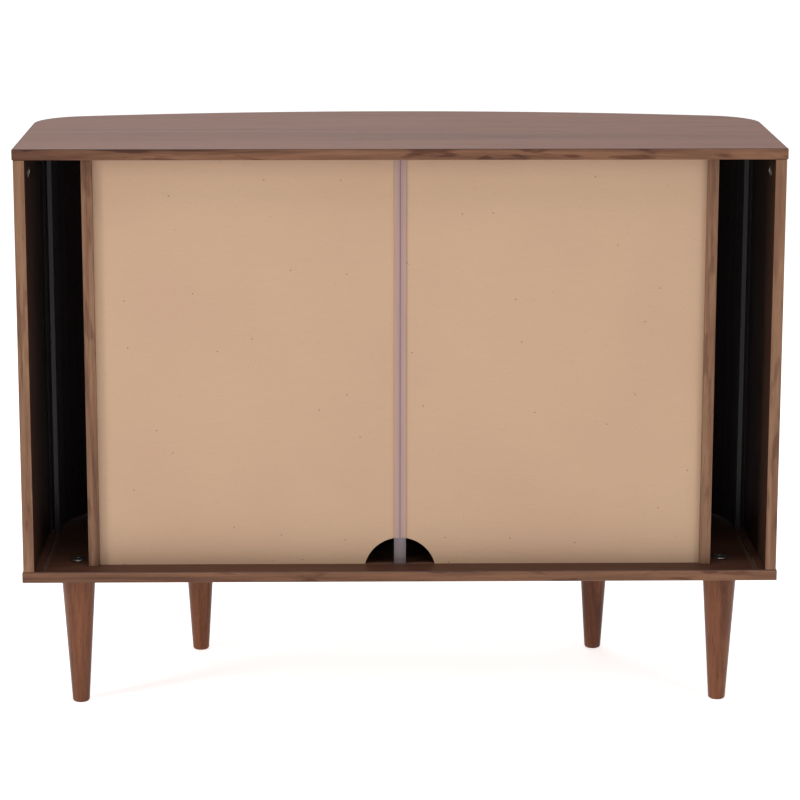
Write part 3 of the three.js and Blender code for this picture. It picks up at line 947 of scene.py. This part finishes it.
def make_cam_lock(side, sign):
    """A cam housing with a rim and a cross recess, seen in the pocket under the top."""
    low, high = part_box(f"cam_lock_{side}")
    y, z = (low.y + high.y) / 2, (low.z + high.z) / 2
    radius = (high.z - low.z) / 2
    depth = high.x - low.x
    profile = [(0, 0), (radius - 0.3 * MM, 0), (radius - 0.3 * MM, depth - MM), (radius, depth - 0.9 * MM)]
    profile += [(radius, depth - 0.3 * MM), (radius - 0.4 * MM, depth), (radius - 1.4 * MM, depth)]
    profile += [(radius - 1.7 * MM, depth - 0.5 * MM), (0, depth - 0.5 * MM)]
    cam = lathe(f"cam_lock_{side}_housing", profile)
    arm, half = 4 * MM, 0.7 * MM
    recess, mouth = depth - 2.5 * MM, depth + MM
    cuts = [
        box("cut_a", (-arm, -half, recess), (arm, half, mouth)),
        box("cut_b", (-half, -arm, recess), (half, arm, mouth)),
    ]
    carve(cam, cuts)
    turn = Matrix.Rotation(-sign * math.pi / 2, 4, "Y")
    outer_x = high.x if sign > 0 else low.x
    cam.data.transform(Matrix.Translation((outer_x, y, z)) @ turn)
    finish_piece(cam, STEEL, "root", [f"cam_lock_{side}"])


def make_shelf_pin(row, side, sign):
    """A rod with a groove round it, half in the partition and half under the shelf."""
    node = f"shelf_pin_{row}_{side}"
    low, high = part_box(node)
    y, z = (low.y + high.y) / 2, (low.z + high.z) / 2
    radius = (high.z - low.z) / 2
    length = high.x - low.x
    face = length - 8.3 * MM  # where it leaves the partition
    profile = [(0, 0), (radius - 0.5 * MM, 0), (radius, 0.5 * MM), (radius, face - 1.2 * MM)]
    profile += [(radius * 0.8, face - 1.0 * MM), (radius * 0.8, face - 0.4 * MM), (radius, face - 0.2 * MM)]
    profile += [(radius, length - 0.5 * MM), (radius - 0.5 * MM, length), (0, length)]
    pin = lathe(f"{node}_rod", profile, segments=32)
    inner_x = low.x if sign > 0 else high.x
    turn = Matrix.Rotation(sign * math.pi / 2, 4, "Y")
    pin.data.transform(Matrix.Translation((inner_x, y, z)) @ turn)
    finish_piece(pin, STEEL, "root", [node])


for side, sign in SIDES.items():
    make_cam_lock(side, sign)
    for row in ("rear", "front"):
        make_shelf_pin(row, side, sign)


# --- tambour doors ---


def slat_profile(width):
    """The section of one slat: square against the canvas, with two rounded front edges."""
    half = width / 2
    ease = 0.4 * MM
    steps = 5
    points = [(-half + ease, CANVAS), (-half, CANVAS + ease)]
    for step in range(steps + 1):
        turn = math.pi - math.pi / 2 * step / steps
        x = -half + SLAT_FILLET + SLAT_FILLET * math.cos(turn)
        points.append((x, SLAT_THICKNESS - SLAT_FILLET + SLAT_FILLET * math.sin(turn)))
    return points + [(-x, y) for x, y in reversed(points)]


def upright(name, profile, low, high, chamfer, place):
    """A slat-like piece: its section is (along, outwards), and place() puts it in plan."""
    xs = [x for x, _ in profile]
    ys = [y for _, y in profile]
    centre = ((min(xs) + max(xs)) / 2, (min(ys) + max(ys)) / 2)
    size = (max(xs) - min(xs), max(ys) - min(ys))

    def ring(z, inset):
        made = []
        for x, y in profile:
            along = centre[0] + (x - centre[0]) * (1 - 2 * inset / size[0])
            out = centre[1] + (y - centre[1]) * (1 - 2 * inset / size[1])
            made.append(Vector((*place(along, out), z)))
        return made

    levels = [(low, chamfer), (low + chamfer, 0), (high - chamfer, 0), (high, chamfer)]
    return loft(name, [ring(z, inset) for z, inset in levels])


def chord_place(sign, start, end):
    """Plan coordinates of a flat slat whose canvas spans two points of the canvas line."""
    first, last = Track.at(start), Track.at(end)
    middle = (first + last) / 2
    along = (last - first).normalized()
    out = Vector((along.y, -along.x))

    def place(x, y):
        point = middle + along * x + out * y
        return (sign * point.x, point.y)

    return place


def set_tone(piece, tone):
    """Stores the tone, 0 to 1, that the walnut material reads."""
    attribute = piece.data.attributes.new("tone", "FLOAT", "POINT")
    attribute.data.foreach_set("value", [tone] * len(piece.data.vertices))


GOLDEN_SHARE = 0.6180339887
FIRST_TONE = 0.21


def slat_tone(index):
    """A steady, irregular tone from 0 to 1 for each slat."""
    return (index * GOLDEN_SHARE + FIRST_TONE) % 1.0


slat_low, slat_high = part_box("door_right_slat_01")
SLAT_LOW_Z, SLAT_HIGH_Z = slat_low.z, slat_high.z


def add_slat(name, sign, start, end, body, index, stands_for=()):
    """A slat between two lengths of the canvas line."""
    width = (Track.at(end) - Track.at(start)).length - SLAT_GAP
    place = chord_place(sign, start, end)
    slat = upright(name, slat_profile(width), SLAT_LOW_Z, SLAT_HIGH_Z, SLAT_CHAMFER, place)
    set_tone(slat, slat_tone(index))
    finish_piece(slat, SLAT, body, stands_for, angle=25)


def add_canvas(name, sign, stations, body):
    """A strip of cloth along the canvas line, from the first length to the last."""
    inner = [Track.at(s, CANVAS_PLAY) for s in stations]
    outer = [Track.at(s, CANVAS - CANVAS_PLAY) for s in stations]
    outline = [(sign * p.x, p.y) for p in [*outer, *reversed(inner)]]
    cloth = prism(name, outline, SLAT_LOW_Z + MM, SLAT_HIGH_Z - MM)
    finish_piece(cloth, CANVAS_CLOTH, body)


def add_tongues(name, sign, stations, body):
    """Guide tongues that run in the grooves above and below a guided panel."""
    inner = [Track.at(s, TONGUE[0]) for s in stations]
    outer = [Track.at(s, TONGUE[1]) for s in stations]
    outline = [(sign * p.x, p.y) for p in [*outer, *reversed(inner)]]
    spans = {
        "lower": (FLOOR_Z - TONGUE_REACH, SLAT_LOW_Z - PANEL_PLAY),
        "upper": (SLAT_HIGH_Z + PANEL_PLAY, CEILING_Z + TONGUE_REACH),
    }
    for where, (low, high) in spans.items():
        tongue = prism(f"{name}_{where}_tongue", outline, low, high)
        soften(tongue, SHEET_EASING, segments=1)
        set_tone(tongue, 0.5)
        finish_piece(tongue, SLAT, body)


def make_pull(side, sign, body):
    """A slim upright grip whose sides are hollowed for the fingers and whose ends are round."""
    node = f"door_{side}_pull"
    low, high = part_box(node)
    half_height = (high.z - low.z) / 2
    middle_z = (high.z + low.z) / 2
    width, depth = 10 * MM, 12 * MM
    foot = Track.at(PULL_ALONG, SLAT_THICKNESS + CANVAS_PLAY)
    angle = PULL_ALONG / Track.radius
    along = Vector((math.cos(angle), math.sin(angle)))
    out = Vector((math.sin(angle), -math.cos(angle)))
    left_side = [(-0.42, 0.0), (-0.40, 0.3), (-0.36, 0.5), (-0.42, 0.72)]
    left_side += [(-0.49, 0.84), (-0.46, 0.94), (-0.34, 1.0)]
    section = left_side + [(-x, y) for x, y in reversed(left_side)]
    rings = []
    steps = 28
    bluntness, least = 0.22, 0.25  # how soon the ends narrow, and what is left there
    for i in range(steps + 1):
        turn = math.pi * i / steps - math.pi / 2
        height = half_height * math.sin(turn)
        share = max(max(math.cos(turn), 0.0) ** bluntness, least)
        ring = []
        for x, y in section:
            deep = depth * y * (0.55 + 0.45 * share) + 0.3 * MM
            point = foot + along * (x * width * share) + out * deep
            ring.append(Vector((sign * point.x, point.y, middle_z + height)))
        rings.append(ring)
    pull = loft(f"{node}_grip", rings)
    finish_piece(pull, PULL_WOOD, body, [node], angle=50)


def make_lead(side, sign):
    """The stiff front of a door. Returns the length at which its last slat ends."""
    body = f"{side}_door_lead"
    node = f"door_{side}_lead"
    add_slat(f"{node}_stile", sign, 0, STILE_WIDTH, body, 0, [node])
    for i in range(LEAD_SLATS):
        start = STILE_WIDTH + i * SLAT_PITCH
        add_slat(f"{node}_slat_{i + 1}", sign, start, start + SLAT_PITCH, body, i + 1)
    end = STILE_WIDTH + LEAD_SLATS * SLAT_PITCH
    steps = 2 * LEAD_SLATS
    inset = SLAT_GAP / 2
    stations = [inset + (end - inset - PANEL_PLAY) * i / steps for i in range(steps + 1)]
    add_canvas(f"{node}_canvas", sign, stations, body)
    first, last = stations[0] + 3 * MM, stations[-1] - 3 * MM
    tongue = [first + (last - first) * i / steps for i in range(steps + 1)]
    add_tongues(node, sign, tongue, body)
    make_pull(side, sign, body)
    return end


def make_loose_slats(side, sign, start):
    """The slats that follow the lead one by one. Returns the length at which the last one ends."""
    for i in range(1, LOOSE_SLATS + 1):
        end = Track.next_hinge(start)
        body = f"{side}_slat_{i:02d}"
        node = f"door_{side}_slat_{i:02d}"
        add_slat(f"{node}_wood", sign, start, end, body, i + LEAD_SLATS, [node])
        place = chord_place(sign, start, end)
        half = SLAT_PITCH / 2 - PANEL_PLAY
        inner, outer = CANVAS_PLAY, CANVAS - CANVAS_PLAY
        profile = [(-half, inner), (half, inner), (half, outer), (-half, outer)]
        cloth = upright(f"{node}_canvas", profile, SLAT_LOW_Z + MM, SLAT_HIGH_Z - MM, 0.1 * MM, place)
        finish_piece(cloth, CANVAS_CLOTH, body)
        start = end
    return start


def make_tail(side, sign, start):
    """The last slat and the plastic strip that ends the cloth."""
    body = f"{side}_door_tail"
    node = f"door_{side}_tail"
    slat_end = start + SLAT_PITCH
    add_slat(f"{node}_slat", sign, start, slat_end, body, 3, [node])
    end = slat_end + SLAT_GAP / 2 + TAIL_STRIP
    add_canvas(f"{node}_canvas", sign, [start + PANEL_PLAY, end - MM], body)
    place = chord_place(sign, slat_end + SLAT_GAP / 2, end)
    half = TAIL_STRIP / 2
    profile = [(-half, CANVAS), (half, CANVAS), (half, SLAT_THICKNESS - MM), (half - MM, SLAT_THICKNESS)]
    profile += [(MM - half, SLAT_THICKNESS), (-half, SLAT_THICKNESS - MM)]
    strip = upright(f"{node}_end_strip", profile, SLAT_LOW_Z, SLAT_HIGH_Z, SLAT_CHAMFER, place)
    finish_piece(strip, GREY_PLASTIC, body)
    tongue_inset = 2.5 * MM
    add_tongues(node, sign, [start + tongue_inset, end - tongue_inset], body)


for side, sign in SIDES.items():
    lead_end = make_lead(side, sign)
    tail_start = make_loose_slats(side, sign, lead_end)
    make_tail(side, sign, tail_start)


# --- floor, light and camera ---


FLOOR_REACH = 80.0
FLOOR_GLOW = 0.68
SKY_LIGHT, SKY_DARK = 1.0, 0.36  # near the horizon and above
SKY_TURNS = (0.14, 0.3)  # sines of the heights between which it darkens


def make_floor():
    """A wide, pale, softly glowing floor, which is also the backdrop of every view."""
    reach = FLOOR_REACH
    corners = [(-reach, -reach, 0.0), (reach, -reach, 0.0), (reach, reach, 0.0), (-reach, reach, 0.0)]
    floor = mesh_from("studio_floor", corners, [(0, 1, 2, 3)])
    n = Nodes("studio_floor")
    n.give("Base Color", grey(0.93))
    n.give("Roughness", 0.9)
    n.give("Specular IOR Level", 0.1)
    n.give("Emission Color", grey(1.0))
    n.give("Emission Strength", FLOOR_GLOW)
    floor.data.materials.append(n.material)


def area_light(name, place, aim, size, power):
    """A rectangular lamp of this size and power, in watts, turned to what it lights."""
    data = bpy.data.lights.new(name, "AREA")
    data.shape = "RECTANGLE"
    data.size, data.size_y = size
    data.energy = power
    lamp = new_object(name, data)
    lamp.location = place
    lamp.rotation_euler = (Vector(aim) - Vector(place)).to_track_quat("-Z", "Y").to_euler()


def make_lights():
    """A sky that is bright near the horizon, and four soft lamps."""
    world = bpy.data.worlds.new("studio")
    bpy.context.scene.world = world
    world.use_nodes = True
    tree = world.node_tree
    background = tree.nodes["Background"]
    direction = tree.nodes.new("ShaderNodeTexCoord")
    axes = tree.nodes.new("ShaderNodeSeparateXYZ")
    sky = tree.nodes.new("ShaderNodeValToRGB")
    horizon, zenith = sky.color_ramp.elements
    horizon.position, zenith.position = SKY_TURNS
    horizon.color = grey(SKY_LIGHT)
    zenith.color = grey(SKY_DARK)
    tree.links.new(direction.outputs["Generated"], axes.inputs["Vector"])
    tree.links.new(axes.outputs["Z"], sky.inputs["Fac"])
    tree.links.new(sky.outputs["Color"], background.inputs["Color"])
    background.inputs["Strength"].default_value = 1.0
    target = (0.0, 0.0, 0.45)
    area_light("left", (3.4, 2.1, 1.7), target, (0.8, 1.6), 56)
    area_light("right", (-2.8, 3.0, 1.8), target, (1.2, 1.8), 24)
    area_light("over", (0.0, 0.9, 3.2), (0, 0.1, 0.8), (3.0, 1.6), 46)
    area_light("front", (0.6, -2.8, 3.6), target, (2.0, 1.4), 22)
    bpy.context.scene.view_settings.view_transform = "Standard"


CAMERA_PLACE = (0.063, 3.916, 1.320)
CAMERA_PITCH = 0.1957  # radians below the horizon
CAMERA_TURN = 0.0167  # radians to the right of straight ahead
CAMERA_ROLL = -0.0011  # radians
CAMERA_LENS = 125.9  # in mm, on the sensor below
SENSOR_WIDTH = 36.0
CAMERA_SHIFT = -0.12


def make_camera():
    """The photograph's view, from the back and a little above."""
    data = bpy.data.cameras.new("camera")
    data.lens = CAMERA_LENS
    data.sensor_width = SENSOR_WIDTH
    data.shift_y = CAMERA_SHIFT
    camera = new_object("camera", data)
    right = Vector((-math.cos(CAMERA_TURN), math.sin(CAMERA_TURN), 0.0))
    level = Vector((-math.sin(CAMERA_TURN), -math.cos(CAMERA_TURN), 0.0))
    ahead = level * math.cos(CAMERA_PITCH) - Vector((0, 0, math.sin(CAMERA_PITCH)))
    up = right.cross(ahead)
    tilt_cos, tilt_sin = math.cos(CAMERA_ROLL), math.sin(CAMERA_ROLL)
    rolled_right = right * tilt_cos - up * tilt_sin
    rolled_up = right * tilt_sin + up * tilt_cos
    turn = Matrix((rolled_right, rolled_up, -ahead)).transposed().to_4x4()
    camera.matrix_world = Matrix.Translation(CAMERA_PLACE) @ turn
    bpy.context.scene.camera = camera


make_floor()
make_lights()
make_camera()
